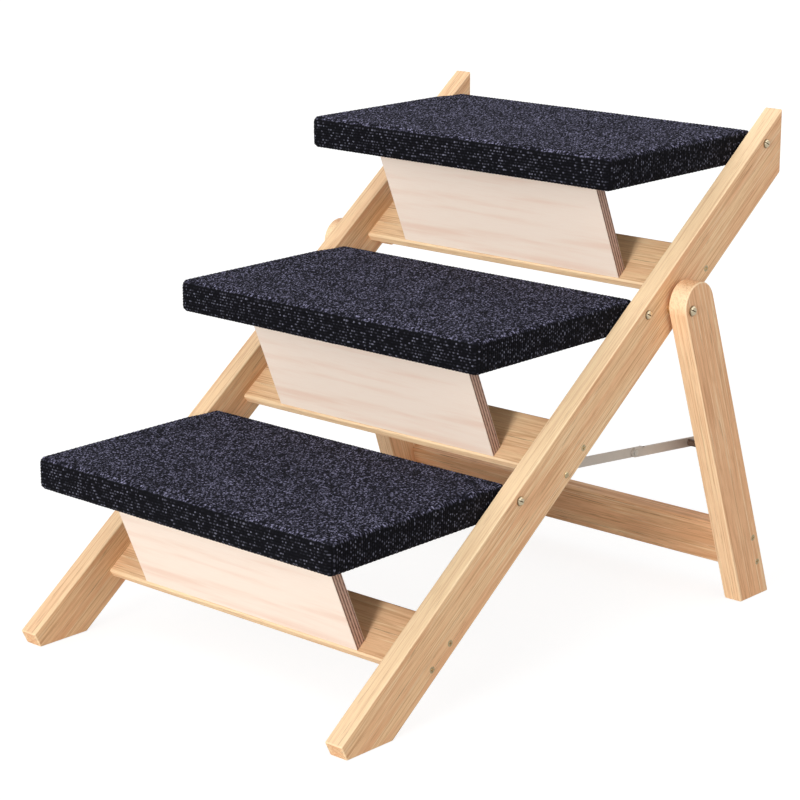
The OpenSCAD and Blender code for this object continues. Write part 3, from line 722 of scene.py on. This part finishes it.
def tread_carpet(number, material):
    node = f"tread_carpet_{number}"
    low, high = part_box(node)
    pivot = joint_place(f"tread_{number}_lift")
    lie = Rows(low, high, number * ROWS_A_TREAD)
    shape = tread_block(low, high)
    height_rows = (lie.high.z - lie.low.z) / lie.row_pitch
    spans = (lie.loops * SPANS_A_LOOP, lie.rows * SPANS_A_ROW, round(height_rows * SPANS_A_ROW))
    for axis, count in enumerate(spans):
        bmesh.ops.subdivide_edges(
            shape, edges=long_edges(shape, axis), cuts=count - 1, use_grid_fill=True)
    shape.normal_update()
    hidden = [
        face for face in shape.faces
        if face.normal.z < -0.9 and face.calc_center_median().z > low.z + CARPET_T]
    bmesh.ops.dissolve_faces(shape, faces=hidden)
    rows = shape.loops.layers.uv.new("rows")
    for face in shape.faces:
        out = lie.out(face.calc_center_median())
        for loop in face.loops:
            loop[rows].uv = lie.place(loop.vert.co, out)
    risen = []
    for vertex in shape.verts:
        point = vertex.co
        u, v = lie.place(point, lie.out(point))
        from_pivot = hypot(point.y - pivot.y, point.z - pivot.z)
        proud = PILE_PROUD * eased_share(from_pivot, *PIVOT_CLEAR)
        fuzz = FUZZ_RISE * (noise.noise(point * FUZZ_FINE) + noise.noise(point * FUZZ_COARSE))
        risen.append(point + vertex.normal * (proud + pile_height(u, v) + fuzz))
    for vertex, point in zip(shape.verts, risen):
        vertex.co = point
    new_piece(f"tread_carpet_pile_{number}", shape, material, node, smooth_angle=75)


def treads():
    material = loop_carpet()
    for number in STEPS:
        tread_carpet(number, material)


def dress(material, *names):
    for name in names:
        for slot in nodes[name].material_slots:
            slot.material = material


def fittings():
    """The CAD pieces whose shape stays, with their finishes."""
    finishes = {
        "fastener": metal("bright_zinc", FASTENER_ZINC, 0.16, EVEN_BRUSH),
        "hinge_steel": metal("satin_nickel", HINGE_NICKEL, 0.34, BRUSH_ALONG_X),
        "stay_steel": metal(
            "stay_bar_zinc", STAY_ZINC, 0.42, BRUSH_ALONG_Y, metallic=0.4, shade_share=0.15),
        "board": sawn_board()}
    for name, slot in slots.items():
        if slot in finishes:
            dress(finishes[slot], name)
    lifts = [joint_place(f"tread_{number}_lift") for number in STEPS]
    dress(pivot_bolt("tread_pivot_bolts", lifts), "tread_pivot_bolts")
    dress(pivot_bolt("leg_pivot_bolts", [joint_place("leg_fold")]), "leg_pivot_bolts")
    rivet = metal("rivet_nickel", RIVET_NICKEL, 0.2, EVEN_BRUSH)
    for side in SIDES:
        dress(rivet, f"stay_joint_rivet_{side}")
    # The spacers' dark brown stands partly for painted shade beside the leg.
    dress(dark_shaded_bush(), "stay_leg_spacers")
    cleats = pine(
        "cleat_pine", "slat_cleats", ALONG_RAIL, CLEAT_PITH, CLEAT_LEAN, TOWARD_FACE, warm=0.7)
    dress(cleats, "slat_cleats")


# Studio
AMBIENT = 0.62
FLOOR_SIZE = 30
FLOOR_SHADE = 0.6
FLOOR_GLOW = 1.65
FLOOR_GLOW_SHARE = 0.5
FRONT_FROM = (0, -0.88, 0.44)
LOW_FRONT_FROM = (0.17, -1, 0.16)
RIGHT_FROM = (0.9, -0.2, 0.35)
WHITE = (1, 1, 1)
WARM_WHITE = (1, 0.97, 0.93)


def plain_light(name, source, strength, spread, colour=WHITE):
    """A soft sun that shines from the direction source."""
    lamp = bpy.data.lights.new(name, "SUN")
    lamp.energy = strength
    lamp.angle = radians(spread)
    lamp.color = colour
    light = bpy.data.objects.new(name, lamp)
    light.rotation_euler = Vector(source).to_track_quat("Z", "Y").to_euler()
    bpy.context.scene.collection.objects.link(light)


def white_world():
    """Plain light from all round, which the camera and glossy rays see as white."""
    world = bpy.data.worlds.new("studio")
    world.use_nodes = True
    bpy.context.scene.world = world
    sky = Nodes(world.node_tree)
    seen = sky.add("ShaderNodeLightPath", output="Is Camera Ray")
    glossy = sky.add("ShaderNodeLightPath", output="Is Glossy Ray")
    background = sky.tree.nodes["Background"]
    sky.join(background.inputs["Color"], grey(1))
    white = seen.math("MAXIMUM", seen, glossy)
    sky.join(background.inputs["Strength"], AMBIENT + (1 - AMBIENT) * white)


def white_floor():
    """A pale floor that keeps the shadow and looks white to the camera."""
    shape = bmesh.new()
    bmesh.ops.create_grid(shape, x_segments=1, y_segments=1, size=FLOOR_SIZE)
    mesh = bpy.data.meshes.new("floor")
    shape.to_mesh(mesh)
    shape.free()
    floor = bpy.data.objects.new("floor", mesh)
    bpy.context.scene.collection.objects.link(floor)
    finish = Finish("floor_white", Base_Color=grey(FLOOR_SHADE), Roughness=0.9)
    glow = finish.add("ShaderNodeEmission", values={"Strength": FLOOR_GLOW})
    seen = finish.add("ShaderNodeLightPath", output="Is Camera Ray")
    blend = finish.add(
        "ShaderNodeMixShader",
        values={0: seen * FLOOR_GLOW_SHARE, 1: Wire(finish, finish.shader.outputs[0]), 2: glow})
    finish.join(finish.tree.nodes["Material Output"].inputs["Surface"], blend)
    mesh.materials.append(finish.material)


def studio():
    plain_light("front_light", FRONT_FROM, strength=0.4, spread=24)
    plain_light("low_front_light", LOW_FRONT_FROM, strength=1.8, spread=16)
    plain_light("side_fill", RIGHT_FROM, strength=0.3, spread=40, colour=WARM_WHITE)
    white_world()
    white_floor()
    bpy.context.scene.view_settings.view_transform = "Standard"


set_camera()
rails()
legs()
slats()
panels()
treads()
fittings()
studio()
